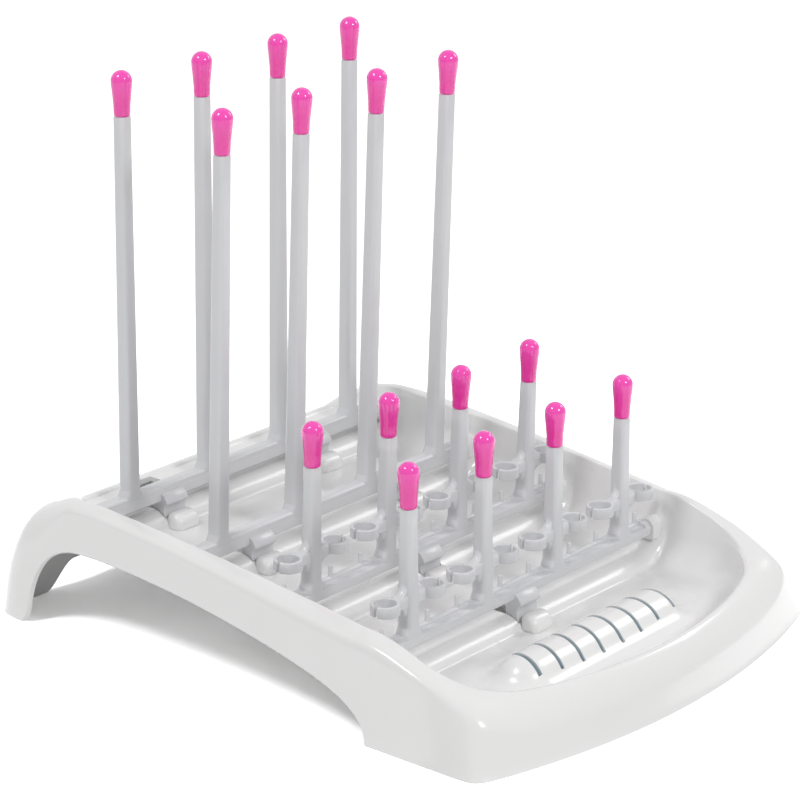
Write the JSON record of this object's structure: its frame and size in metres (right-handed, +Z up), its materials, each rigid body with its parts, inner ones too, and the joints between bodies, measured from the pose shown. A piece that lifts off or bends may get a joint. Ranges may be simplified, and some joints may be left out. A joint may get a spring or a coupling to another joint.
{
  "type": "bottle drying rack",
  "caption": "Countertop drying rack: moulded tray on two rear legs with fold-down rows of tall and short pegs, soft peg tips, clip rings and a ribbed front basin.",
  "frame": {"origin": "on the table under the middle of the tray's width and depth", "axes": "+X to the right along the bars, -Y towards the low front rim, +Z up"},
  "size_m": [0.2906, 0.367, 0.3023],
  "materials": {
    "tray": "gloss",
    "bars": "satin",
    "tips": "gloss"
  },
  "bodies": {
    "tray": {"tray": "tray"},
    "rear_tall_row": {"rear_tall_bar": "bars", "rear_tall_tip_1": "tips", "rear_tall_tip_2": "tips", "rear_tall_tip_3": "tips", "rear_tall_tip_4": "tips"},
    "front_tall_row": {"front_tall_bar": "bars", "front_tall_tip_1": "tips", "front_tall_tip_2": "tips", "front_tall_tip_3": "tips", "front_tall_tip_4": "tips"},
    "rear_short_row": {"rear_short_bar": "bars", "rear_short_tip_1": "tips", "rear_short_tip_2": "tips", "rear_short_tip_3": "tips", "rear_short_tip_4": "tips"},
    "front_short_row": {"front_short_bar": "bars", "front_short_tip_1": "tips", "front_short_tip_2": "tips", "front_short_tip_3": "tips", "front_short_tip_4": "tips"}
  },
  "joints": [
    {"name": "rear_tall_fold", "type": "hinge", "parent": "tray", "child": "rear_tall_row", "pos_m": [0, 0.1295, 0.0612], "axis": [1, 0, 0], "range_deg": [0, 83]},
    {"name": "front_tall_fold", "type": "hinge", "parent": "tray", "child": "front_tall_row", "pos_m": [0, 0.0632, 0.0518], "axis": [1, 0, 0], "range_deg": [0, 83]},
    {"name": "rear_short_fold", "type": "hinge", "parent": "tray", "child": "rear_short_row", "pos_m": [0, -0.0031, 0.0411], "axis": [1, 0, 0], "range_deg": [0, 83]},
    {"name": "front_short_fold", "type": "hinge", "parent": "tray", "child": "front_short_row", "pos_m": [0, -0.0694, 0.0337], "axis": [1, 0, 0], "range_deg": [0, 83]}
  ],
  "couplings": [
    {"joint": "front_tall_fold", "follows": "rear_tall_fold", "ratio": 1},
    {"joint": "rear_short_fold", "follows": "rear_tall_fold", "ratio": 1},
    {"joint": "front_short_fold", "follows": "rear_tall_fold", "ratio": 1}
  ]
}
